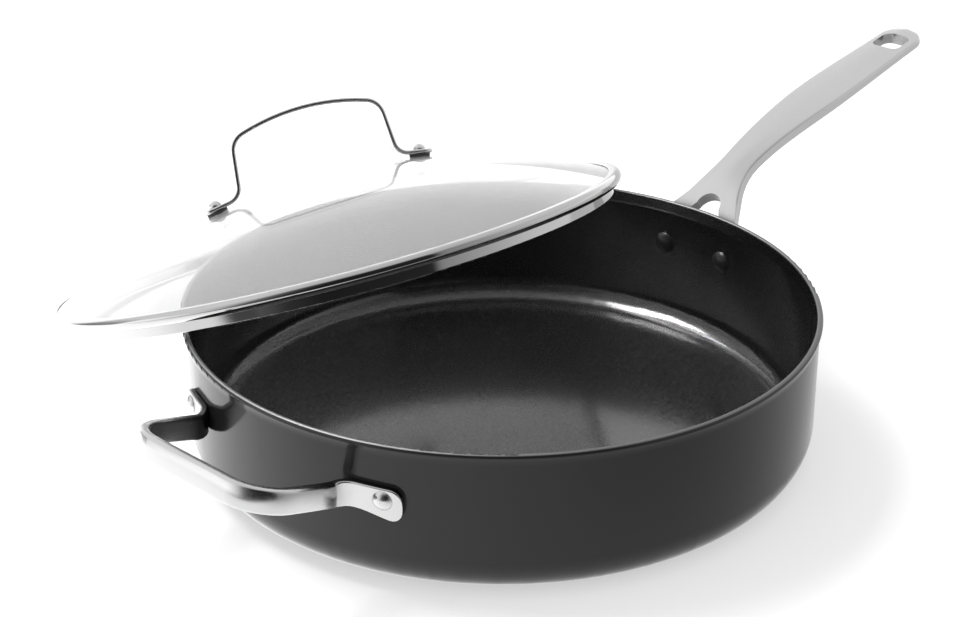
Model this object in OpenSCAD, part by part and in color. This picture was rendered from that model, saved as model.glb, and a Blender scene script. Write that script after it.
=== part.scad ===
// Saute pan with a domed glass lid that leans on the rim, 305 mm across.
// Origin: centre of the flat base. +X runs along the long handle, +Z is up. Millimetres.
// Left and right are as seen from behind the helper handle, looking along +X: left is +Y.

/* [Pan] */
// Outside radius of the rim's lip
lip_r = 152.4; // [120:0.1:170]
// How far the lip stands out beyond the straight wall
lip_flare = 1.2; // [0.4:0.1:3]
// Thickness of the wall
wall_t = 3.0; // [2:0.1:4]
// Height of the pan from the base to the rim
pan_h = 72; // [55:1:85]
// Thickness of the floor
floor_t = 4.5; // [3:0.1:6]
// Radius of the outside corner between base and wall
corner_r = 18.5; // [12:0.5:22]
// Radius of the fillet inside, between floor and wall
fillet_r = 12; // [8:0.5:14]
// Thickness of the rounded rim
rim_t = 3.1; // [2:0.1:4]
// Height over which the wall flares out to the rim
flare_h = 6; // [4:0.5:10]

/* [Rivets] */
// Diameter of a rivet's shank
rivet_d = 6; // [4:0.1:8]
// Diameter of the domed heads inside the pan
inner_head_d = 11.6; // [9:0.1:14]
// Height of the domed heads inside the pan
inner_head_h = 2.8; // [1.5:0.1:4]
// Diameter of the domed heads on the flanges
outer_head_d = 9; // [8:0.1:13]
// Height of the domed heads on the flanges
outer_head_h = 2.4; // [1.5:0.1:4]
// Space round a shank in its hole
rivet_play = 0.05; // [0.02:0.01:0.1]

/* [Long handle] */
// Distance from the pan's axis to the handle's tip
handle_reach = 341; // [300:1:380]
// Height of the tip's middle above the rim
tip_rise = 50.5; // [30:0.5:70]
// Slope of the handle at its tip
tip_slope = 10; // [0:1:20]
// Distance from the wall to the neck, where the two legs meet
neck_out = 15.2; // [13:0.5:22]
// Height of the neck's middle above the rim
neck_rise = 2.4; // [0:0.5:8]
// Slope of the handle at its neck
neck_slope = 47; // [35:1:55]
// Depth of the handle's section
handle_t = 6.8; // [5:0.1:9]
// Depth of the handle's section at the tip
tip_t = 5.4; // [4:0.1:7]
// Width of the waist, just beyond the neck
waist_w = 19.5; // [15:0.5:24]
// Width of the grip at its widest
grip_w = 28; // [24:0.5:34]
// Width at the tip
tip_w = 24.4; // [22:0.5:30]
// Radius of the tip's corners, seen from above
tip_round = 10; // [6:0.5:11]
// Rise of the crowned top face above its edges
crown_h = 1.1; // [0.4:0.1:2]
// Width of the flange on the wall
flange_w = 55; // [50:0.5:64]
// Height of the flange on the wall
flange_h = 21; // [18:0.5:26]
// Thickness of the flange
flange_t = 4.2; // [3:0.1:6]
// Distance from the rim down to the rivets
rivet_drop = 23.4; // [20:0.1:28]
// Distance between the two rivets, along the wall
rivet_pitch = 38.4; // [34:0.1:44]
// Width of the fork's opening at the wall
fork_w = 26; // [18:0.5:30]
// Radius of the arch at the top of the fork's opening
fork_arch_r = 7.2; // [5:0.1:9]
// Length of the hang slot, along the handle
slot_l = 17; // [12:0.5:20]
// Width of the hang slot, across the handle
slot_w = 17; // [12:0.5:17.5]
// Radius of the hang slot's corners
slot_round = 5; // [3:0.5:5.5]
// Metal left between the hang slot and the tip
slot_margin = 9.5; // [6:0.5:14]

/* [Helper handle] */
// Distance from the wall to the outer face of the bar
helper_out = 43; // [34:0.2:50]
// Half the length of the straight part of the bar
bar_half = 26; // [20:0.5:30]
// Radius of the two corners, at the strap's middle
helper_corner_r = 17.5; // [12:0.5:20]
// Angle by which the arms spread towards the wall
arm_spread = 1; // [0:0.5:8]
// Radius of the bend where an arm turns on to the wall
helper_bend_r = 9.5; // [6:0.5:12]
// Height of the strap
strap_h = 11.4; // [10:0.2:14]
// Thickness of the strap
strap_t = 4.6; // [3:0.1:6]
// Height of a flange at its end
tab_h = 15.8; // [14:0.2:18]
// Height of a flange where it leaves the arm
tab_root_h = 12.4; // [11:0.2:14]
// Drop of a flange's end below its root
tab_droop = 2.4; // [0:0.1:4]
// Thickness of a flange
tab_t = 3; // [2.5:0.1:4]
// Angle round the wall from the middle of the handle to a rivet
helper_rivet_angle = 24.2; // [22:0.1:27]
// Length of a flange beyond its rivet, along the wall
tab_beyond = 8.8; // [8:0.1:12]
// Distance from the rim down to the rivets
helper_drop = 25.3; // [20:0.1:30]
// Angle by which the loop slopes up from the wall
helper_tilt = 17; // [0:0.5:25]

/* [Lid] */
// Overhang of the lid's ring beyond the lip
ring_overhang = 0.6; // [0:0.1:2]
// Clearance between the lid's skirt and the inside of the wall
skirt_play = 1; // [0.8:0.1:2]
// Height of the rounded ring round the glass
ring_h = 6.4; // [5:0.1:8]
// Depth of the skirt below the ring
skirt_h = 5.5; // [4:0.1:9]
// Thickness of the ring's sheet metal
sheet_t = 0.9; // [0.6:0.1:1.2]
// Radius of the rolled hem along the skirt's lower edge
hem_r = 0.8; // [0.6:0.1:1.2]
// Width of the ring's lip over the glass
ring_lip = 2.6; // [2:0.1:5]
// Thickness of the glass
glass_t = 4; // [3:0.1:5]
// Rise of the glass dome above the ring
dome_rise = 33.4; // [24:0.2:40]

/* [Lid handle] */
// Distance from the lid's axis to a screw, along the chord
foot_x = 56.2; // [45:0.2:65]
// Height of the handle's top above its feet
lid_handle_h = 38.6; // [32:0.2:48]
// Width of the handle's strap
lid_strap_w = 10; // [8:0.5:12]
// Thickness of the handle's strap
lid_strap_t = 2.4; // [2:0.1:3.4]
// Length of a foot beyond its screw
foot_beyond = 6.6; // [5:0.2:9]
// Length of a foot between its screw and the bend
foot_inside = 7; // [5:0.2:8]
// Radius of the bend above a foot
foot_bend_r = 8; // [6:0.2:10]
// Angle by which a leg leans inwards
leg_lean = 6; // [0:0.5:12]
// Radius of the handle's shoulders
shoulder_r = 10; // [7:0.2:13]
// Slope of the arched top where it meets a shoulder
top_slope = 17; // [10:0.5:25]

/* [Lid fasteners] */
// Diameter of a screw's shank
screw_d = 4; // [3:0.1:4.6]
// Diameter of a screw's domed head
screw_head_d = 7; // [6:0.1:8.4]
// Height of a screw's domed head
screw_head_h = 2.8; // [1.4:0.1:3.2]
// Diameter of the holes through the glass
glass_hole_d = 5.6; // [5:0.1:6.6]
// Diameter of the soft gaskets
gasket_d = 11; // [9:0.2:12]
// Thickness of the gasket under a foot
foot_gasket_t = 1.4; // [0.8:0.1:2.4]
// Thickness of the seal inside the lid
inner_seal_t = 1; // [0.8:0.1:2]
// Diameter of the steel washers
washer_d = 9; // [8:0.2:10]
// Thickness of the steel washers
washer_t = 0.8; // [0.6:0.1:1.2]
// Distance across the flats of a nut
nut_af = 7; // [6:0.1:8]
// Height of the six-sided part of a nut
nut_h = 2.8; // [2:0.1:4]
// Height of a nut's domed cap
nut_cap_h = 2.2; // [1.6:0.1:3]
// Diameter of a nut's domed cap
nut_cap_d = 5.8; // [5.4:0.1:5.9]

/* [How the lid leans] */
// Angle by which the lid leans
lean = 20.6; // [19:0.1:23]
// Direction in which the lid leans down, from the long handle
lean_azimuth = 85.7; // [70:0.1:110]
// Direction of the lid's handle, from the way down the lid
lid_handle_turn = -109.5; // [-180:0.1:180]

/* [Fits] */
// Space left between pieces that are seated on each other
seat_gap = 0.05; // [0.02:0.01:0.1]
// Space left between the lid and what it leans on
lean_gap = 0.3; // [0.2:0.05:0.5]

/* [Hidden] */
$fn = 128;
lathe_fn = 180;

anodized = [0.17, 0.17, 0.18];
coating = [0.1, 0.1, 0.11];
steel = [0.74, 0.74, 0.73];
polished = [0.85, 0.85, 0.86];
clear = [0.86, 0.93, 0.95, 0.4];
silicone = [0.82, 0.82, 0.8];

// Sizes that follow from the pan
wall_r = lip_r - lip_flare;
inner_r = wall_r - wall_t;
rim_r = rim_t / 2;
rivet_z = pan_h - rivet_drop;
rivet_angle = asin(rivet_pitch / 2 / wall_r);
helper_z = pan_h - helper_drop;

// How far a shank runs into its head
shank_sink = 0.5;

// Sizes that follow from the lid
ring_r = lip_r + ring_overhang;
skirt_r = inner_r - skirt_play;
bead_r = ring_h / 2;
bead_in_r = bead_r - sheet_t;
glass_edge_r = bead_in_r - seat_gap;
bead_x = ring_r - bead_r;
dome_edge_r = bead_x - ring_lip;
dome_edge_z = bead_r + glass_edge_r;
dome_r = (dome_edge_r * dome_edge_r + dome_rise * dome_rise) / (2 * dome_rise);
dome_centre_z = dome_edge_z + dome_rise - dome_r;
foot_angle = asin(foot_x / dome_r);
foot_mid = foot_gasket_t + 2 * seat_gap + lid_strap_t / 2;

// Pose of the lid: its lowest edge is by the table and its skirt crosses the rim at two points.
// The hem sits a little outside the top of the rim's round, by this share of the round's radius.
hem_sits = 0.7;
hem_in_r = skirt_r - 2 * hem_r;
hem_z = skirt_r * sin(lean) + lean_gap;
cross_along = (hem_z - pan_h - lean_gap) / sin(lean);
cross_side = sqrt(hem_in_r * hem_in_r - cross_along * cross_along);
cross_reach = sqrt(pow(lip_r - rim_r * (1 - hem_sits), 2) - cross_side * cross_side);
lid_out = cross_reach - cross_along * cos(lean) + skirt_h * sin(lean);
lid_z = hem_z + skirt_h * cos(lean);

// Point on a circle arc, and a list of such points
function polar(c, r, a) = [c[0] + r * cos(a), c[1] + r * sin(a)];
function arc(c, r, a0, a1, n) = [for (i = [0:n]) polar(c, r, a0 + (a1 - a0) * i / n)];

// Straight run of n steps between two points, without the first one
function run(a, b, n) = [for (i = [1:n]) a + (b - a) * i / n];

// Point on a cubic curve and its direction
function cubic(p, t) = pow(1 - t, 3) * p[0] + 3 * t * pow(1 - t, 2) * p[1]
    + 3 * t * t * (1 - t) * p[2] + t * t * t * p[3];

// Smooth step from 0 to 1 as x goes from a to b
function ease(x, a, b) = let (t = max(0, min(1, (x - a) / (b - a)))) t * t * (3 - 2 * t);

// Direction of a path at its point i, from the neighbours on both sides
function heading(p, i) = let (d = p[min(i + 1, len(p) - 1)] - p[max(i - 1, 0)]) d / norm(d);

// Length along a path up to its point i
function run_length(p, i) = i <= 0 ? 0 : run_length(p, i - 1) + norm(p[i] - p[i - 1]);

// Share of the full width that a round end leaves at distance d from the end
function round_end(d, r) = d >= r ? 0 : r - sqrt(max(0, r * r - pow(r - d, 2)));

// Section of a strap: half width w, half depth t, radii [upper, lower] of its edges,
// crowns [upper, lower] of its faces, n steps round an edge and m points along a face
function strap_section(w, t, r, c, n, m) = concat(
    corner(w, t, 0, r[0], c[0], n), face(w - r[0], t, 1, c[0], m),
    corner(w, t, 1, r[0], c[0], n), corner(w, t, 2, r[1], -c[1], n),
    face(w - r[1], t, -1, -c[1], m), corner(w, t, 3, r[1], -c[1], n));
function corner(w, t, quarter, r, c, n) = [
    for (i = [0:n])
        let (a = 90 * quarter + 90 * i / n, x = sign(cos(90 * quarter + 45)) * (w - r) + r * cos(a))
        [x, sign(sin(90 * quarter + 45)) * (t - r) + r * sin(a) + c * (1 - pow(x / w, 2))]];
function face(w, t, side, c, m) = m < 1 ? [] : [
    for (i = [1:m]) let (x = side * w * (1 - 2 * i / (m + 1))) [x, side * t + c * (1 - pow(x / w, 2))]];

// Solid through rings of points, closed at both ends
module skin(rings) {
    n = len(rings[0]);
    last = len(rings) - 1;
    polyhedron(
        points = [for (ring = rings) for (p = ring) p],
        faces = concat(
            [[for (i = [0:n - 1]) i]],
            [for (k = [0:last - 1]) for (i = [0:n - 1]) let (a = k * n, j = (i + 1) % n)
                [a + i, a + n + i, a + n + j]],
            [for (k = [0:last - 1]) for (i = [0:n - 1]) let (a = k * n, j = (i + 1) % n)
                [a + i, a + n + j, a + j]],
            [[for (i = [n - 1:-1:0]) last * n + i]]));
}

// Rectangle with round corners, centred
module round_rect(l, w, r) {
    square([l - 2 * r, w], center = true);
    square([l, w - 2 * r], center = true);
    for (x = [-1, 1], y = [-1, 1]) translate([x * (l / 2 - r), y * (w / 2 - r)]) circle(r);
}

// Filled outline of a cup of radius r and height h with a round lower corner, right half
module cup_half(r, h, c) {
    square([r - c, h]);
    translate([0, c]) square([r, h - c]);
    translate([r - c, c]) circle(c);
}

// Domed head of diameter d and height h, standing on z = 0
module domed_head(d, h) {
    r = (d * d / 4 + h * h) / (2 * h);
    rotate_extrude() intersection() {
        translate([0, h - r]) circle(r);
        square([d / 2, h]);
    }
}

// Places children on the wall at an angle round the pan, +Z pointing straight out
module on_wall(angle, z) {
    rotate([0, 0, angle]) translate([0, 0, z]) rotate([0, 90, 0]) children();
}

// Hole for a rivet's shank
module rivet_hole(angle, z) {
    on_wall(angle, z) translate([0, 0, wall_r - cut_reach])
        cylinder(r = rivet_d / 2 + rivet_play, h = 2 * cut_reach);
}

// Rivet through the wall and a flange of thickness t
module rivet(angle, z, t) {
    inner_seat = sqrt(inner_r * inner_r - inner_head_d * inner_head_d / 4) - seat_gap;
    outer_seat = wall_r + seat_gap + t + seat_gap;
    on_wall(angle, z) {
        translate([0, 0, inner_seat]) mirror([0, 0, 1]) domed_head(inner_head_d, inner_head_h);
        translate([0, 0, inner_seat - shank_sink])
            cylinder(d = rivet_d, h = outer_seat - inner_seat + 2 * shank_sink);
        translate([0, 0, outer_seat]) domed_head(outer_head_d, outer_head_h);
    }
}

module pan_body() {
    color(anodized) difference() {
        rotate_extrude($fn = lathe_fn) {
            difference() {
                cup_half(wall_r, pan_h - flare_h, corner_r);
                translate([0, floor_t]) cup_half(inner_r, pan_h, fillet_r);
            }
            polygon([[inner_r, pan_h - flare_h - 0.01], [wall_r, pan_h - flare_h - 0.01],
                [lip_r, pan_h - rim_r], [lip_r - rim_t, pan_h - rim_r]]);
            translate([lip_r - rim_r, pan_h - rim_r]) circle(rim_r, $fn = 32);
        }
        for (s = [-1, 1]) {
            rivet_hole(s * rivet_angle, rivet_z);
            rivet_hole(180 + s * helper_rivet_angle, helper_z);
        }
    }
}

// Spine of the long handle in the XZ plane: up the wall, round to the neck, out to the tip
flange_foot = [wall_r + flange_t / 2, rivet_z - flange_h / 2];
flange_top = [wall_r + flange_t / 2, rivet_z + flange_h / 2];
neck = [wall_r + neck_out, pan_h + neck_rise];
tip = [handle_reach, pan_h + tip_rise];
neck_way = [cos(neck_slope), sin(neck_slope)];
tip_way = [cos(tip_slope), sin(tip_slope)];
bend_pull = 0.45 * (neck[1] - flange_top[1]);
grip_pull = tip[0] - neck[0];
neck_pull = 0.185 * grip_pull;
tip_pull = 0.52 * grip_pull;
bend_curve = [flange_top, flange_top + [0, bend_pull], neck - bend_pull * neck_way, neck];
grip_curve = [neck, neck + neck_pull * neck_way, tip - tip_pull * tip_way, tip];

// Steps along the spine, closer together at the flange's foot and at the round tip
foot_round = 5;
round_steps = 5;
bend_steps = 10;
grip_steps = 24;
tip_steps = 8;
tip_share = 1.2 * tip_round / grip_pull;
spine = concat(
    [for (i = [0:round_steps]) flange_foot + [0, foot_round * (1 - cos(90 * i / round_steps))]],
    run(flange_foot + [0, foot_round], flange_top, 4),
    [for (i = [1:bend_steps]) cubic(bend_curve, i / bend_steps)],
    [for (i = [1:grip_steps]) cubic(grip_curve, (1 - tip_share) * i / grip_steps)],
    [for (i = [1:tip_steps]) cubic(grip_curve, 1 - tip_share + tip_share * sin(90 * i / tip_steps))]);
flange_end = round_steps + 4;
spine_reach = [for (i = [0:len(spine) - 1]) run_length(spine, i)];
spine_length = spine_reach[len(spine) - 1];
leg_reach = 46;
// How quickly the legs draw together beyond the flange: 1 is straight
leg_draw = 1.9;
// Radii of the edges [upper, lower] at the flange and at the grip
flange_edge = [0.8, 1.2];
grip_edge = [1.4, 2.6];
// How far the flange's skin reaches into the wall before the wall's shape is cut from it
flange_sink = 1.3;
grip_from = 34;
grip_to = 122;

// Half width of the long handle at distance s beyond the flange, and d from its nearer end
function handle_half_w(s, d_foot, d_tip) = waist_w / 2
    + (flange_w - waist_w) / 2 * pow(1 - max(0, min(1, s / leg_reach)), leg_draw)
    + (grip_w - waist_w) / 2 * ease(s, grip_from, grip_to)
    - (grip_w - tip_w) / 2 * ease(s, grip_to, spine_length - flange_h)
    - round_end(d_foot, foot_round) - round_end(d_tip, tip_round);

// One ring of the long handle's skin, bowed to the wall at the flange
function handle_ring(i) = let (
    p = spine[i], way = heading(spine, i), s = spine_reach[i] - spine_reach[flange_end],
    d_tip = spine_length - spine_reach[i],
    blend = ease(s, 0, leg_reach / 2),
    half_w = handle_half_w(s, spine_reach[i], d_tip),
    half_t = flange_t / 2 + (handle_t - flange_t) / 2 * blend
        - (handle_t - tip_t) / 2 * ease(d_tip, grip_to, 0) - round_end(d_tip, 2) / 2,
    bow = (1 - ease(s, 0, leg_reach / 2)) / (2 * wall_r),
    inward = flange_sink * (1 - ease(s, 0, 8)))
    [for (q = strap_section(half_w, half_t,
            flange_edge + blend * (grip_edge - flange_edge), [crown_h * ease(s, 8, leg_reach), 0], 3, 7))
        let (out = q[1] + (q[1] > 0 ? inward : 0))
        [p[0] - out * way[1] - q[0] * q[0] * bow, q[0], p[1] + out * way[0]]];

// Half the length of a tool that cuts right through the long handle
cut_reach = 30;

// Opening between the two legs, cut square to the slope of the neck
fork_tilt = neck_slope - 10;
fork_apex = neck + handle_t / 2 * [-sin(neck_slope), cos(neck_slope)];
fork_depth = (fork_apex - flange_top - [flange_t / 2, 0]) * [cos(fork_tilt), sin(fork_tilt)];
module fork_opening() {
    translate([fork_apex[0], 0, fork_apex[1]]) rotate([0, -fork_tilt, 0]) translate([0, 0, -cut_reach])
        linear_extrude(2 * cut_reach) {
            translate([-fork_arch_r, 0]) circle(fork_arch_r);
            polygon([[-fork_arch_r, fork_arch_r], [-fork_arch_r, -fork_arch_r],
                [-fork_depth, -fork_w / 2], [-fork_depth, fork_w / 2]]);
        }
}

module hang_slot() {
    middle = tip - (slot_margin + slot_l / 2) * tip_way;
    translate([middle[0], 0, middle[1]]) rotate([0, -tip_slope, 0]) translate([0, 0, -cut_reach])
        linear_extrude(2 * cut_reach) round_rect(slot_l, slot_w, slot_round);
}

module long_handle() {
    color(steel) difference() {
        skin([for (i = [0:len(spine) - 1]) handle_ring(i)]);
        translate([0, 0, rivet_z - flange_h]) cylinder(r = wall_r + seat_gap, h = 2 * flange_h,
            $fn = lathe_fn);
        fork_opening();
        hang_slot();
        for (s = [-1, 1]) rivet_hole(s * rivet_angle, rivet_z);
    }
}

// Middle line of the helper handle seen from above, from the bar's middle to a flange's end.
// The handle reaches out along +X here and is turned to -X where it is drawn.
bar_x = wall_r + helper_out - strap_t / 2;
corner_centre = [bar_x - helper_corner_r, bar_half];
corner_turn = 90 - arm_spread;
arm_start = polar(corner_centre, helper_corner_r, corner_turn);
arm_way = [-cos(arm_spread), sin(arm_spread)];
arm_side = [sin(arm_spread), cos(arm_spread)];
tab_r = wall_r + seat_gap + tab_t / 2;
bend_line = arm_start + helper_bend_r * arm_side;
bend_along = -bend_line * arm_way - sqrt(pow(bend_line * arm_way, 2)
    - bend_line * bend_line + pow(tab_r + helper_bend_r, 2));
bend_centre = bend_line + bend_along * arm_way;
bend_angle = atan2(bend_centre[1], bend_centre[0]);
tab_end_angle = helper_rivet_angle + tab_beyond / wall_r * 180 / PI;
tab_round = 6;
tab_round_angle = tab_round / wall_r * 180 / PI;
helper_half = concat(
    [[bar_x, 0], [bar_x, bar_half / 2]],
    arc(corner_centre, helper_corner_r, 0, corner_turn, 7),
    run(arm_start, bend_centre - helper_bend_r * arm_side, 6),
    [for (i = [1:5]) polar(bend_centre, helper_bend_r,
        270 - arm_spread + (bend_angle - 90 + arm_spread) * i / 5)],
    [for (i = [1:5]) polar([0, 0], tab_r,
        bend_angle + (tab_end_angle - tab_round_angle - bend_angle) * i / 5)],
    [for (i = [1:6]) polar([0, 0], tab_r,
        tab_end_angle - tab_round_angle * (1 - sin(90 * i / 6)))]);
helper_path = concat(
    [for (i = [len(helper_half) - 1:-1:1]) [helper_half[i][0], -helper_half[i][1]]],
    helper_half);
helper_length = run_length(helper_path, len(helper_path) - 1);

// Edge radii and face crowns of the strap, [outer, inner], on a flange and on the arms
tab_edge = [0.9, 0.4];
arm_edge = [1.3, 1.2];
arm_crown = [0.9, 0.5];
// Distance from the wall over which a flange turns into the strap
tab_blend = 8;
tab_length = (tab_end_angle - bend_angle) * PI / 180 * tab_r;

// One ring of the helper handle's skin
function helper_ring(i) = let (
    p = helper_path[i], way = heading(helper_path, i), reach = run_length(helper_path, i),
    d_end = min(reach, helper_length - reach),
    on_arm = ease(norm(p), tab_r + 1, tab_r + 1 + tab_blend),
    on_tab = ease(tab_length - d_end, 0, tab_length),
    tab_half = (tab_root_h + (tab_h - tab_root_h) * on_tab) / 2,
    half_h = tab_half + (strap_h / 2 - tab_half) * on_arm - round_end(d_end, tab_round),
    half_t = tab_t / 2 + (strap_t - tab_t) / 2 * on_arm,
    tilt = helper_tilt * on_arm,
    side = [way[1] * cos(tilt), -way[0], way[1] * sin(tilt)], up = [-sin(tilt), 0, cos(tilt)],
    middle = [p[0], p[1], helper_z + (p[0] - tab_r) * tan(tilt) - tab_droop * on_tab])
    [for (q = strap_section(half_h, half_t, tab_edge + on_arm * (arm_edge - tab_edge),
            on_arm * arm_crown, 3, 3))
        middle + q[1] * side + q[0] * up];

module helper_handle() {
    color(steel) difference() {
        rotate([0, 0, 180]) skin([for (i = [0:len(helper_path) - 1]) helper_ring(i)]);
        for (s = [-1, 1]) rivet_hole(180 + s * helper_rivet_angle, helper_z);
    }
}

// Places children in the lid's own frame: +Z up its axis, z = 0 at the ring's lower face,
// +X along the chord of its handle
module place_lid() {
    translate([lid_out * cos(lean_azimuth), lid_out * sin(lean_azimuth), lid_z])
        rotate([0, 0, lean_azimuth]) rotate([0, lean, 0]) rotate([0, 0, lid_handle_turn]) children();
}

// Places children at a foot of the lid's handle, z = 0 on the glass, +Z straight out of it
module at_foot(side) {
    translate([0, 0, dome_centre_z]) rotate([0, side * foot_angle, 0]) translate([0, 0, dome_r])
        children();
}

module lid_glass() {
    color(clear) place_lid() difference() {
        rotate_extrude($fn = lathe_fn) {
            intersection() {
                translate([0, dome_centre_z]) difference() {
                    circle(dome_r, $fn = 720);
                    circle(dome_r - glass_t, $fn = 720);
                }
                translate([0, bead_r - glass_edge_r]) square([dome_edge_r, dome_rise + ring_h]);
            }
            translate([dome_edge_r - 0.3, bead_r - glass_edge_r])
                square([bead_x - dome_edge_r + 0.3, 2 * glass_edge_r]);
            translate([bead_x, bead_r]) circle(glass_edge_r, $fn = 32);
        }
        for (s = [-1, 1]) at_foot(s) translate([0, 0, -2 * glass_t])
            cylinder(d = glass_hole_d, h = 3 * glass_t);
    }
}

// Rolled band: a round bead over the glass's edge, a flat seat, and a skirt with a hem
module lid_band() {
    color(polished) place_lid() rotate_extrude($fn = lathe_fn) {
        translate([bead_x, bead_r]) intersection() {
            difference() {
                circle(bead_r, $fn = 48);
                circle(bead_in_r, $fn = 48);
            }
            translate([0, -bead_r]) square([bead_r, 2 * bead_r]);
        }
        translate([dome_edge_r + sheet_t / 2, ring_h - sheet_t]) square([ring_lip - sheet_t / 2, sheet_t]);
        translate([dome_edge_r + sheet_t / 2, ring_h - sheet_t / 2]) circle(sheet_t / 2, $fn = 24);
        translate([skirt_r - sheet_t, 0]) square([bead_x - skirt_r + sheet_t, sheet_t]);
        translate([skirt_r - sheet_t, hem_r - skirt_h]) square([sheet_t, skirt_h - hem_r + sheet_t]);
        translate([skirt_r - hem_r, hem_r - skirt_h]) circle(hem_r, $fn = 32);
    }
}

// Middle line of the lid's handle in the XZ plane of the lid's frame, from its top to a foot's end.
// The leg is as long as the height asks, and the top's radius takes what is left to the middle.
foot_point = polar([0, dome_centre_z], dome_r + foot_mid, 90 - foot_angle);
foot_way = [cos(foot_angle), -sin(foot_angle)];
foot_up = [sin(foot_angle), cos(foot_angle)];
leg_way = [-sin(leg_lean), cos(leg_lean)];
leg_side = [cos(leg_lean), sin(leg_lean)];
slope_up = [sin(top_slope), cos(top_slope)];
foot_bend_centre = foot_point - foot_inside * foot_way + foot_bend_r * foot_up;
leg_foot = foot_bend_centre - foot_bend_r * leg_side;
shoulder_step = shoulder_r * (slope_up - leg_side);
leg_l = (foot_point[1] + lid_handle_h - leg_foot[1] - shoulder_step[1]
    - (leg_foot[0] + shoulder_step[0]) * tan(top_slope / 2))
    / (cos(leg_lean) - sin(leg_lean) * tan(top_slope / 2));
shoulder_centre = leg_foot + leg_l * leg_way - shoulder_r * leg_side;
top_end = shoulder_centre + shoulder_r * slope_up;
top_r = top_end[0] / sin(top_slope);
top_centre = [0, foot_point[1] + lid_handle_h - top_r];
foot_tip_r = lid_strap_w / 2;
lid_strap_edge = 0.9;
lid_handle_half = concat(
    arc(top_centre, top_r, 90, 90 - top_slope, 6),
    [for (i = [1:6]) polar(shoulder_centre, shoulder_r,
        90 - top_slope - (90 - top_slope - leg_lean) * i / 6)],
    run(shoulder_centre + shoulder_r * leg_side, leg_foot, 2),
    [for (i = [1:6]) polar(foot_bend_centre, foot_bend_r,
        180 + leg_lean + (90 - foot_angle - leg_lean) * i / 6)],
    run(foot_point - foot_inside * foot_way, foot_point + (foot_beyond - foot_tip_r) * foot_way, 2),
    [for (i = [1:6]) foot_point + (foot_beyond - foot_tip_r * (1 - sin(90 * i / 6))) * foot_way]);
lid_handle_path = concat(
    [for (i = [len(lid_handle_half) - 1:-1:1]) [-lid_handle_half[i][0], lid_handle_half[i][1]]],
    lid_handle_half);
lid_handle_length = run_length(lid_handle_path, len(lid_handle_path) - 1);

// One ring of the lid handle's skin
function lid_handle_ring(i) = let (
    p = lid_handle_path[i], way = heading(lid_handle_path, i),
    reach = run_length(lid_handle_path, i),
    half_w = lid_strap_w / 2 - round_end(min(reach, lid_handle_length - reach), foot_tip_r - 1))
    [for (q = strap_section(half_w, lid_strap_t / 2, lid_strap_edge * [1, 1], [0, 0], 3, 0))
        [p[0] - q[1] * way[1], q[0], p[1] + q[1] * way[0]]];

module lid_handle() {
    color(steel) place_lid() difference() {
        skin([for (i = [0:len(lid_handle_path) - 1]) lid_handle_ring(i)]);
        for (s = [-1, 1]) at_foot(s) cylinder(r = screw_d / 2 + rivet_play, h = 2 * foot_mid);
    }
}

// Levels of the stack through the glass, outside and inside it
head_seat = foot_mid + lid_strap_t / 2 + seat_gap;
seal_seat = glass_t + gasket_d * gasket_d / 8 / (dome_r - glass_t) + seat_gap;
washer_seat = seal_seat + inner_seal_t + seat_gap;
nut_seat = washer_seat + washer_t + seat_gap;

// Flat ring round a screw's shank
module screw_ring(d, t) {
    difference() {
        cylinder(d = d, h = t);
        translate([0, 0, -1]) cylinder(r = screw_d / 2 + rivet_play, h = t + 2);
    }
}

module lid_screw(side) {
    color(polished) place_lid() at_foot(side) {
        translate([0, 0, head_seat]) domed_head(screw_head_d, screw_head_h);
        translate([0, 0, -nut_seat - nut_h]) cylinder(d = screw_d, h = nut_seat + nut_h + head_seat + shank_sink);
    }
}

module lid_foot_gasket(side) {
    color(silicone) place_lid() at_foot(side) translate([0, 0, seat_gap])
        screw_ring(gasket_d, foot_gasket_t);
}

module lid_inner_seal(side) {
    color(silicone) place_lid() at_foot(side) translate([0, 0, -seal_seat - inner_seal_t])
        screw_ring(gasket_d, inner_seal_t);
}

module lid_washer(side) {
    color(polished) place_lid() at_foot(side) translate([0, 0, -washer_seat - washer_t])
        screw_ring(washer_d, washer_t);
}

module lid_nut(side) {
    color(polished) place_lid() at_foot(side) mirror([0, 0, 1]) translate([0, 0, nut_seat]) difference() {
        union() {
            cylinder(d = nut_af / cos(30), h = nut_h, $fn = 6);
            translate([0, 0, nut_h - 0.1]) domed_head(nut_cap_d, nut_cap_h + 0.1);
        }
        translate([0, 0, -1]) cylinder(r = screw_d / 2 + rivet_play, h = nut_h + 1 + seat_gap);
    }
}

pan_body();
long_handle();
color(coating) rivet(rivet_angle, rivet_z, flange_t);  // long_handle_rivet_left
color(coating) rivet(-rivet_angle, rivet_z, flange_t);  // long_handle_rivet_right
helper_handle();
color(polished) rivet(180 - helper_rivet_angle, helper_z, tab_t);  // helper_handle_rivet_left
color(polished) rivet(180 + helper_rivet_angle, helper_z, tab_t);  // helper_handle_rivet_right
lid_glass();
lid_band();
lid_handle();
lid_screw(-1);  // lid_screw_left
lid_screw(1);  // lid_screw_right
lid_foot_gasket(-1);  // lid_foot_gasket_left
lid_foot_gasket(1);  // lid_foot_gasket_right
lid_inner_seal(-1);  // lid_inner_seal_left
lid_inner_seal(1);  // lid_inner_seal_right
lid_washer(-1);  // lid_washer_left
lid_washer(1);  // lid_washer_right
lid_nut(-1);  // lid_nut_left
lid_nut(1);  // lid_nut_right
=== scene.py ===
from math import pi, radians

import bpy
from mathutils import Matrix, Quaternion, Vector

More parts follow.
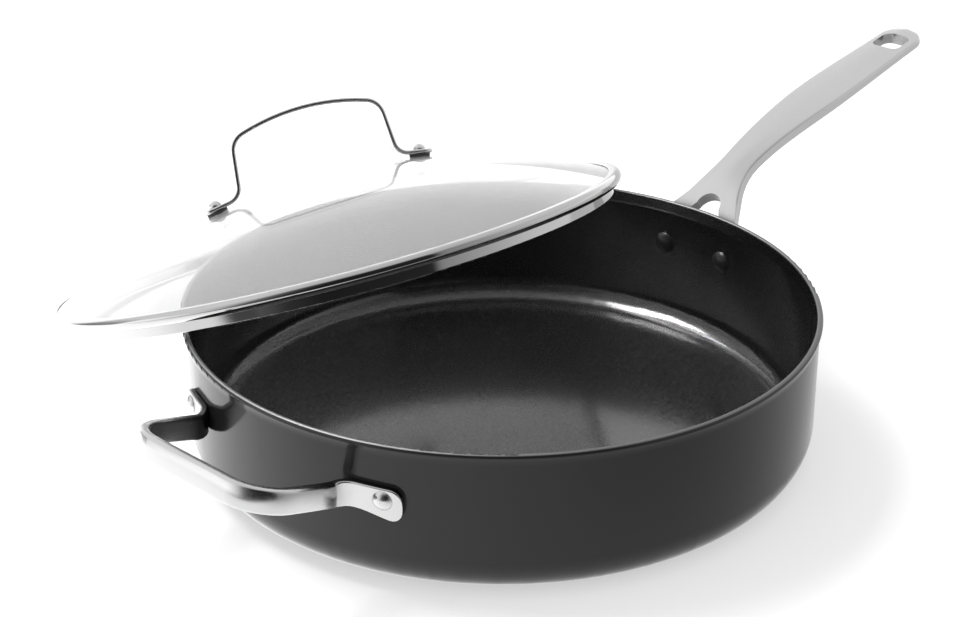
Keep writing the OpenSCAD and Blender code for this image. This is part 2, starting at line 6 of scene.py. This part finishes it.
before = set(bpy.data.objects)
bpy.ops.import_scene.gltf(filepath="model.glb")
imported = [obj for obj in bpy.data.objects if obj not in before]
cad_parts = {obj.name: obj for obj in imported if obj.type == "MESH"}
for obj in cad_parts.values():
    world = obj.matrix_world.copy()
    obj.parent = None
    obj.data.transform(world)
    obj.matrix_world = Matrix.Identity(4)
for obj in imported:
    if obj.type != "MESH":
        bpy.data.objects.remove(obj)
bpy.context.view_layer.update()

MM = 0.001

# ---------------------------------------------------------------- sizes that the materials share with the pan
WALL_R = 151.2 * MM          # outside radius of the wall
CORNER_R = 18.5 * MM         # round between wall and base, outside
SKIN_MID = 1.5 * MM          # depth of the middle of the wall below the outside skin
INNER_R = 148.2 * MM         # inside radius of the wall
FLARE_FROM, FLARE_TO = 66.0 * MM, 70.5 * MM   # heights between which the wall flares out
LIP_FLARE = 1.2 * MM         # how far it flares
RIM_Z = 71.55 * MM           # the rounded edge above this height is bare metal
RIM_BLEND = 0.12 * MM        # height over which the coat ends there
EDGE_R, EDGE_Z = 150.85 * MM, 70.45 * MM      # middle of the rim's round
EDGE_FROM = EDGE_Z + 0.2 * MM                 # height from which the rim is shaded as a true round


# ---------------------------------------------------------------- node helpers
MIX_SOCKETS = {"FLOAT": (2, 3, 0), "VECTOR": (4, 5, 1), "RGBA": (6, 7, 2)}   # inputs A and B, and output


class Graph:
    """A material's or world's node tree, with short calls for its nodes."""

    def __init__(self, owner):
        owner.use_nodes = True
        self.tree = owner.node_tree
        self.tree.nodes.clear()

    def add(self, kind, inputs=None, **settings):
        node = self.tree.nodes.new(kind)
        for name, value in settings.items():
            setattr(node, name, value)
        for name, value in (inputs or {}).items():
            self.put(node.inputs[name], value)
        return node

    def put(self, socket, value):
        if isinstance(value, bpy.types.NodeSocket):
            self.tree.links.new(value, socket)
        else:
            socket.default_value = value

    def math(self, operation, *values, clamp=False):
        node = self.add("ShaderNodeMath", operation=operation, use_clamp=clamp)
        for socket, value in zip(node.inputs, values):
            self.put(socket, value)
        return node.outputs[0]

    def ramp(self, value, low, high, out_low=0.0, out_high=1.0):
        """A smooth change of value from out_low at low to out_high at high."""
        node = self.add("ShaderNodeMapRange", interpolation_type="SMOOTHSTEP")
        for name, number in (("Value", value), ("From Min", low), ("From Max", high),
                             ("To Min", out_low), ("To Max", out_high)):
            self.put(node.inputs[name], number)
        return node.outputs["Result"]

    def mix(self, factor, a, b, kind=None):
        """A blend of two values: of colours where one is written as a tuple, and otherwise of numbers."""
        kind = kind or ("RGBA" if isinstance(a, tuple) or isinstance(b, tuple) else "FLOAT")
        first, second, out = MIX_SOCKETS[kind]
        node = self.add("ShaderNodeMix", {0: factor}, data_type=kind)
        self.put(node.inputs[first], a)
        self.put(node.inputs[second], b)
        return node.outputs[out]

    def vector(self, operation, a, b=None, output="Vector", **inputs):
        """The result of a vector operation; output is Value where it is a number."""
        node = self.add("ShaderNodeVectorMath", {0: a, **inputs}, operation=operation)
        if b is not None:
            self.put(node.inputs[1], b)
        return node.outputs[output]

    def here(self):
        """The point on the object in its own frame, in metres."""
        return self.add("ShaderNodeTexCoord").outputs["Object"]

    def place(self, stretch=(1.0, 1.0, 1.0)):
        """The same point, stretched for a grain with a direction."""
        return self.add("ShaderNodeMapping", {"Vector": self.here(), "Scale": stretch}).outputs[0]

    def round_axis(self, point):
        """A point's level part, its distance from the pan's upright axis, and its height."""
        xyz = self.add("ShaderNodeSeparateXYZ", {"Vector": point}).outputs
        flat = self.add("ShaderNodeCombineXYZ", {"X": xyz[0], "Y": xyz[1]}).outputs[0]
        return flat, self.vector("LENGTH", flat, output="Value"), xyz[2]

    def noise(self, where, scale, detail=2.0, roughness=0.5):
        return self.add("ShaderNodeTexNoise", {"Vector": where, "Scale": scale, "Detail": detail,
                                               "Roughness": roughness}).outputs["Fac"]

    def bump(self, height, depth, strength=1.0, under=None):
        inputs = {"Height": height, "Distance": depth, "Strength": strength}
        if under is not None:
            inputs["Normal"] = under
        return self.add("ShaderNodeBump", inputs).outputs[0]

    def surface(self, **inputs):
        shader = self.add("ShaderNodeBsdfPrincipled",
                          {name.replace("_", " "): value for name, value in inputs.items()})
        self.finish(shader.outputs[0])

    def finish(self, shader):
        self.add("ShaderNodeOutputMaterial", {"Surface": shader})


def grey(level):
    return (level, level, level, 1.0)


def material(name):
    made = bpy.data.materials.new(name)
    return made, Graph(made)


# ---------------------------------------------------------------- materials
# Grains are in cycles per metre and bump depths in metres.
SPECKLE_GRAIN = 1900.0               # the non-stick coat's speckles
SATIN_GRAIN = 2600.0                 # the outer coat's fine grain
INNER_GREYS, OUTER_GREYS, RIM_GREY = (0.006, 0.018), (0.020, 0.025), 0.15
INNER_ROUGH, OUTER_ROUGH, RIM_ROUGH = (0.24, 0.30), (0.10, 0.16), 0.45
COAT_DEPTH, GLOSS_DEPTH = 0.006 * MM, 0.0015 * MM
GLOSS_FADE = 1.5 * MM                # height over which the inner gloss ends at the flare


def pan_coat():
    """Dark satin coat outside, speckled non-stick coat inside, bare metal on the rim's edge."""
    made, g = material("pan_coat")
    here = g.here()
    flat, radius, height = g.round_axis(here)

    # the inside starts at the middle of the skin, also round the corner and along the flare
    bend = g.ramp(height, FLARE_FROM, FLARE_TO, WALL_R - CORNER_R, WALL_R - CORNER_R + LIP_FLARE)
    out = g.math("MAXIMUM", g.math("SUBTRACT", radius, bend), 0.0)
    down = g.math("MAXIMUM", g.math("SUBTRACT", CORNER_R, height), 0.0)
    squares = g.math("ADD", g.math("MULTIPLY", out, out), g.math("MULTIPLY", down, down))
    inside = g.math("LESS_THAN", g.math("SQRT", squares), CORNER_R - SKIN_MID)
    rim = g.ramp(height, RIM_Z, RIM_Z + RIM_BLEND)

    speckle = g.noise(here, SPECKLE_GRAIN, 3.0, 0.6)
    fleck = g.ramp(speckle, 0.60, 0.72)
    cloud = g.noise(here, 14.0, 3.0)
    inner_colour = g.mix(fleck, *map(grey, INNER_GREYS))
    outer_colour = g.mix(cloud, *map(grey, OUTER_GREYS))
    colour = g.mix(rim, g.mix(inside, outer_colour, inner_colour), grey(RIM_GREY))
    rough_in = g.ramp(speckle, 0.3, 0.75, *INNER_ROUGH)
    rough_out = g.ramp(g.noise(here, 900.0, 2.0), 0.3, 0.7, *OUTER_ROUGH)
    rough = g.mix(rim, g.mix(inside, rough_out, rough_in), RIM_ROUGH)
    grain = g.mix(inside, g.math("MULTIPLY", g.noise(here, SATIN_GRAIN, 2.0), 0.25), speckle)
    grain = g.mix(rim, grain, 0.5)

    # the rim's round is shaded from its centre line, because its facets are coarse
    ring = g.vector("SCALE", g.vector("NORMALIZE", flat), Scale=EDGE_R)
    centre = g.vector("ADD", ring, (0.0, 0.0, EDGE_Z))
    round_normal = g.vector("NORMALIZE", g.vector("SUBTRACT", here, centre))
    plain_normal = g.add("ShaderNodeNewGeometry").outputs["Normal"]
    on_edge = g.math("GREATER_THAN", height, EDGE_FROM)
    normal = g.bump(grain, COAT_DEPTH, 0.5, under=g.mix(on_edge, plain_normal, round_normal, "VECTOR"))

    gloss = g.math("MULTIPLY", inside, g.ramp(height, FLARE_FROM, FLARE_FROM + GLOSS_FADE, 1.0, 0.0))
    g.surface(Base_Color=colour, Roughness=rough, Metallic=rim, IOR=1.4, Normal=normal,
              Coat_Weight=gloss, Coat_Roughness=0.13, Coat_IOR=1.75,
              Coat_Normal=g.bump(speckle, GLOSS_DEPTH, 0.5))
    return made


LINE_GRAIN = 400.0                   # brushed lines, before their stretch
LINE_DEPTH = 0.001 * MM
PAINTED_SHADE_REACH = 22.0 * MM             # how far inside slots and corners the steel's colour is darkened, as painted shade
COATED_GREY, COATED_ROUGH = 0.02, 0.28        # the rivets' heads inside the pan


def brushed(name, level, rough, stretch, dark_inside=False, painted_hollow_shade=False):
    """Steel with fine lines: colour, roughness and height follow one stretched noise. Its colour can also
    carry painted shade in slots and corners.
    """
    made, g = material(name)
    lines = g.noise(g.place(stretch), LINE_GRAIN, 3.0, 0.6)
    cloud = g.noise(g.place(), 30.0, 2.0)
    tone = g.math("ADD", g.math("MULTIPLY", lines, 0.6), g.math("MULTIPLY", cloud, 0.4))
    colour = g.mix(tone, grey(level * 0.93), grey(level * 1.05))
    if painted_hollow_shade:
        # painted shade: ambient occlusion darkens the steel's colour down to a quarter in slots, arches and
        # corners
        open_sky = g.add("ShaderNodeAmbientOcclusion", {"Distance": PAINTED_SHADE_REACH}).outputs["AO"]
        colour = g.mix(g.ramp(open_sky, 0.50, 0.92), grey(level * 0.25), colour)
    roughness = g.ramp(lines, 0.25, 0.75, rough * 0.8, rough * 1.25)
    metallic = 1.0
    if dark_inside:
        bare = g.math("GREATER_THAN", g.round_axis(g.here())[1], INNER_R + SKIN_MID)
        colour = g.mix(bare, grey(COATED_GREY), colour)
        roughness = g.mix(bare, COATED_ROUGH, roughness)
        metallic = bare
    g.surface(Base_Color=colour, Roughness=roughness, Metallic=metallic,
              Normal=g.bump(lines, LINE_DEPTH, 0.5))
    return made


def clear_glass():
    """Glass with the faintest ripple of pressed glass, and a light veil that greys what is behind it."""
    made, g = material("clear_glass")
    ripple = g.noise(g.place(), 9.0, 1.0)
    smear = g.noise(g.place(), 45.0, 3.0)
    g.surface(Base_Color=grey(0.90), Roughness=g.ramp(smear, 0.4, 0.8, 0.0, 0.02),
              Transmission_Weight=0.80, IOR=1.5, Normal=g.bump(ripple, 0.05 * MM, 0.3))
    return made


def soft_rubber():
    """Dark rubber of the gaskets and seals, with a fine matt grain."""
    made, g = material("soft_rubber")
    grain = g.noise(g.place(), 1500.0, 2.0)
    g.surface(Base_Color=g.mix(grain, grey(0.03), grey(0.05)),
              Roughness=g.ramp(grain, 0.3, 0.7, 0.55, 0.7), Normal=g.bump(grain, 0.02 * MM, 0.4))
    return made


# Steels: level of grey, roughness, and the stretch that gives the lines their direction
MATERIALS = {
    "pan_metal": pan_coat(),
    "handle_steel": brushed("satin_steel", 0.58, 0.22, (0.5, 3.0, 3.0), painted_hollow_shade=True),
    "rivet_steel": brushed("rivet_steel", 0.62, 0.26, (1.0, 1.0, 1.0), dark_inside=True),
    "lid_glass": clear_glass(),
    "lid_steel": brushed("band_steel", 0.50, 0.07, (0.5, 0.5, 3.0)),
    "lid_handle_steel": brushed("strap_steel", 0.66, 0.16, (0.5, 3.0, 0.5)),
    "fastener_steel": brushed("screw_steel", 0.65, 0.22, (1.0, 1.0, 1.0)),
    "seal_rubber": soft_rubber(),
}
SLOT_OF = {"pan_body": "pan_metal", "long_handle": "handle_steel", "helper_handle": "handle_steel",
           "lid_glass": "lid_glass", "lid_band": "lid_steel", "lid_handle": "lid_handle_steel"}
SLOT_BY_WORD = {"rivet": "rivet_steel", "gasket": "seal_rubber", "seal": "seal_rubber"}


def slot_of(name):
    """The material slot of a piece: its own, or by a word in its name, or else a fastener's."""
    by_word = [slot for word, slot in SLOT_BY_WORD.items() if word in name]
    return SLOT_OF.get(name) or (by_word or ["fastener_steel"])[0]


for name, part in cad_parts.items():
    for place in part.material_slots:
        place.material = MATERIALS[slot_of(name)]


# ---------------------------------------------------------------- soft shading of the skins
WELD = 0.002 * MM                    # corners closer than this are one
SHARP_ANGLE = radians(38)            # an edge that bends more than this stays sharp


def soft_shading():
    """A modifier's node group: shade the facets of a skin smooth, and keep its real edges sharp."""
    group = bpy.data.node_groups.new("soft_shading", "GeometryNodeTree")
    group.interface.new_socket("Geometry", in_out="INPUT", socket_type="NodeSocketGeometry")
    group.interface.new_socket("Geometry", in_out="OUTPUT", socket_type="NodeSocketGeometry")
    link = group.links.new

    def step(kind, before, **inputs):
        node = group.nodes.new(kind)
        link(before, node.inputs[0])
        for name, value in inputs.items():
            node.inputs[name.replace("_", " ")].default_value = value
        return node

    start = group.nodes.new("NodeGroupInput").outputs[0]
    bare = step("GeometryNodeRemoveAttribute", start, Name="custom_normal").outputs[0]
    joined = step("GeometryNodeMergeByDistance", bare, Distance=WELD).outputs[0]
    faces = step("GeometryNodeSetShadeSmooth", joined, Shade_Smooth=True)
    edges = step("GeometryNodeSetShadeSmooth", faces.outputs[0], Shade_Smooth=True)
    creases = step("GeometryNodeSetShadeSmooth", edges.outputs[0], Shade_Smooth=False)
    edges.domain = creases.domain = "EDGE"
    over = group.nodes.new("FunctionNodeCompare")
    over.operation = "GREATER_THAN"
    link(group.nodes.new("GeometryNodeInputMeshEdgeAngle").outputs["Unsigned Angle"], over.inputs[0])
    over.inputs[1].default_value = SHARP_ANGLE
    link(over.outputs[0], creases.inputs["Selection"])
    link(creases.outputs[0], group.nodes.new("NodeGroupOutput").inputs[0])
    return group


skin_shading = soft_shading()
for name in ("long_handle", "helper_handle", "lid_handle", "pan_body"):
    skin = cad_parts[name]
    skin.modifiers.new("soft_shading", "NODES").node_group = skin_shading
    skin.modifiers.new("even_normals", "WEIGHTED_NORMAL").keep_sharp = True


# ---------------------------------------------------------------- floor and world
# Plain light is even. Reflections show a room that is dark only where the photographer stands.
FLOOR_SIZE, FLOOR_DROP = 12.0, 0.0002
PAPER_GREYS = (0.80, 0.82)
PAPER_LIFT = 0.52                    # makes the paper white to the camera and keeps a soft shadow
PAPER_IN_REFLECTIONS = 0.05          # the levels below are added to this
FRONT = (-0.719, -0.695, 0.0)        # level direction towards the camera
LEFT = (-0.695, 0.719, 0.0)          # level direction towards the picture's left
FRONT_REACH = (0.0, 0.26)            # distances in front of the pan between which the table darkens
FAR_REACH = (0.45, 0.90)             # and further ahead, where it turns nearly black
FAR_LEVELS = (1.0, 0.05)
SIDE_REACH = (-0.20, 0.15)           # distances between which it brightens from the right to the left
SIDE_LEVELS = (0.75, 1.95)           # beside and behind the pan
FRONT_LEVELS = (0.50, 1.30)          # in front of it
FLOOR_THROUGH_GLASS = 0.58           # the glass shows the table and the room a little darker
WORLD_THROUGH_GLASS = 0.65
WORLD_LIGHT = 0.5
# Azimuth in degrees round the object and brightness of the room there, as reflections show it:
# low above the table, where a gap opens at the left, and higher up
ROOM_LOW = ((0.0, 1.2), (359.0, 1.2), (40.0, 1.7), (85.0, 1.7), (95.0, 0.4), (126.0, 0.4),
            (134.0, 1.9), (150.0, 1.7), (170.0, 1.1), (180.0, 0.70), (190.0, 0.22), (208.0, 0.05),
            (222.0, 0.02), (266.0, 0.03), (269.5, 0.42), (290.0, 0.65), (315.0, 0.95))
ROOM_HIGH = ((0.0, 1.0), (359.0, 1.0), (40.0, 1.0), (110.0, 1.15), (150.0, 1.1), (170.0, 0.9),
             (180.0, 0.55), (190.0, 0.2), (208.0, 0.05), (222.0, 0.02), (266.0, 0.03), (269.5, 0.35),
             (290.0, 0.5), (315.0, 0.8))
ROOM_RISE = (0.10, 0.45)             # sines of elevation between which low turns into high
ZENITH_RISE, ZENITH_LEVEL = (0.75, 1.0), 0.85


def ray_kinds(g):
    """Whether a ray comes straight from the camera, through glass, or by a reflection, also where that
    has passed through glass since."""
    path = g.add("ShaderNodeLightPath").outputs
    through = path["Is Transmission Ray"]
    reflected_through = g.math("MULTIPLY", through, g.math("MINIMUM", path["Glossy Depth"], 1.0))
    mirrored = g.math("SUBTRACT", path["Is Glossy Ray"], through, clamp=True)
    reflected = g.math("MAXIMUM", mirrored, reflected_through)
    return path["Is Camera Ray"], g.math("SUBTRACT", through, reflected_through), reflected


def pale_floor():
    """White paper, whose level in reflections depends on the place on the table."""
    made, g = material("pale_floor")
    straight, through, reflected = ray_kinds(g)
    here = g.here()
    forward = g.vector("DOT_PRODUCT", here, FRONT, output="Value")
    sideways = g.vector("DOT_PRODUCT", here, LEFT, output="Value")
    front_level = g.ramp(sideways, *SIDE_REACH, *FRONT_LEVELS)
    ahead = g.math("MULTIPLY", front_level, g.ramp(forward, *FAR_REACH, *FAR_LEVELS))
    level = g.mix(g.ramp(forward, *FRONT_REACH), g.ramp(sideways, *SIDE_REACH, *SIDE_LEVELS), ahead)
    paper = g.mix(g.noise(g.place(), 3.0, 2.0), *map(grey, PAPER_GREYS))
    paper = g.mix(through, paper, grey(FLOOR_THROUGH_GLASS))
    base = g.add("ShaderNodeBsdfDiffuse", {"Color": g.mix(reflected, paper, grey(PAPER_IN_REFLECTIONS))})
    lit = g.math("ADD", g.math("MULTIPLY", straight, PAPER_LIFT), g.math("MULTIPLY", reflected, level))
    lift = g.add("ShaderNodeEmission", {"Color": grey(1.0), "Strength": lit})
    g.finish(g.add("ShaderNodeAddShader", {0: base.outputs[0], 1: lift.outputs[0]}).outputs[0])
    return made


def room_ring(g, share, levels):
    """A ramp of brightness round the horizon; the first two levels are its ends."""
    ramp = g.add("ShaderNodeValToRGB", {"Fac": share})
    stops = ramp.color_ramp.elements
    for place, (azimuth, level) in enumerate(levels):
        stop = stops[place] if place < 2 else stops.new(azimuth / 360.0)
        stop.position = azimuth / 360.0
        stop.color = grey(level)
    return ramp.outputs[0]


def studio_world():
    """White to the camera, dimmer as plain light, and with a dark side in reflections."""
    world = bpy.data.worlds.new("studio")
    g = Graph(world)
    straight, through, reflected = ray_kinds(g)
    way = g.add("ShaderNodeTexCoord").outputs["Generated"]
    x, y, z = g.add("ShaderNodeSeparateXYZ", {"Vector": way}).outputs
    turn = g.math("DIVIDE", g.math("ARCTAN2", y, x), 2 * pi)
    share = g.math("FRACT", g.math("ADD", turn, 1.0))
    low, high = (room_ring(g, share, levels) for levels in (ROOM_LOW, ROOM_HIGH))
    room = g.mix(g.ramp(z, *ROOM_RISE), low, high)
    mirrored = g.mix(g.ramp(z, *ZENITH_RISE), room, grey(ZENITH_LEVEL))
    plain = g.mix(reflected, grey(WORLD_LIGHT), mirrored)
    colour = g.mix(straight, g.mix(through, plain, grey(WORLD_THROUGH_GLASS)), grey(1.0))
    back = g.add("ShaderNodeBackground", {"Color": colour})
    g.add("ShaderNodeOutputWorld", {"Surface": back.outputs[0]})
    bpy.context.scene.world = world


bpy.ops.mesh.primitive_plane_add(size=FLOOR_SIZE, location=(0.0, 0.0, -FLOOR_DROP))
floor = bpy.context.object
floor.name = "floor"
floor.data.materials.append(pale_floor())
studio_world()


# ---------------------------------------------------------------- lamps
def softbox(name, place, target, size, power, gleams_on=None):
    """A soft lamp that gives plain light, or one that is only a reflection on some pieces."""
    data = bpy.data.lights.new(name, "AREA")
    data.shape, data.size, data.size_y, data.energy = "RECTANGLE", size[0], size[1], power
    lamp = bpy.data.objects.new(name, data)
    lamp.location = place
    lamp.rotation_euler = (Vector(target) - Vector(place)).to_track_quat("-Z", "Y").to_euler()
    lamp.visible_camera = False
    lamp.visible_glossy = gleams_on is not None
    lamp.visible_diffuse = gleams_on is None
    bpy.context.collection.objects.link(lamp)
    if gleams_on:
        only = bpy.data.collections.new(name)
        for node in gleams_on:
            only.objects.link(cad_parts[node])
        lamp.light_linking.receiver_collection = only
        data.cycles.use_multiple_importance_sampling = False


PAN_INSIDE = ("pan_body", "long_handle_rivet_left", "long_handle_rivet_right")
KEY_PLACE, KEY_AIM, KEY_SIZE = (-0.129, 0.624, 1.112), (0.10, 0.0, 0.03), (0.74, 0.42)
KEY_POWER, GLEAM_POWER = 9.5, 14.3
softbox("key_light", KEY_PLACE, KEY_AIM, KEY_SIZE, KEY_POWER)
softbox("key_gleam", KEY_PLACE, KEY_AIM, KEY_SIZE, GLEAM_POWER, gleams_on=PAN_INSIDE)
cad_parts["lid_glass"].visible_shadow = False       # the gleam reaches the pan through the lid

# ---------------------------------------------------------------- camera, at the photograph's angle
CAMERA_AT = Vector((-0.65802, -0.62009, 0.49920))
CAMERA_AIM = Vector((0.0410, 0.0505, 0.0360))
CAMERA_ROLL = radians(-0.287)
SENSOR_WIDTH, LENS = 36.0, 77.53
camera_data = bpy.data.cameras.new("camera")
camera_data.sensor_width = SENSOR_WIDTH
camera_data.lens = LENS
camera = bpy.data.objects.new("camera", camera_data)
camera.location = CAMERA_AT
camera.rotation_mode = "QUATERNION"
towards = (CAMERA_AIM - CAMERA_AT).to_track_quat("-Z", "Y")
camera.rotation_quaternion = towards @ Quaternion((0, 0, 1), CAMERA_ROLL)
bpy.context.collection.objects.link(camera)
bpy.context.scene.camera = camera
bpy.context.scene.view_settings.view_transform = "Standard"
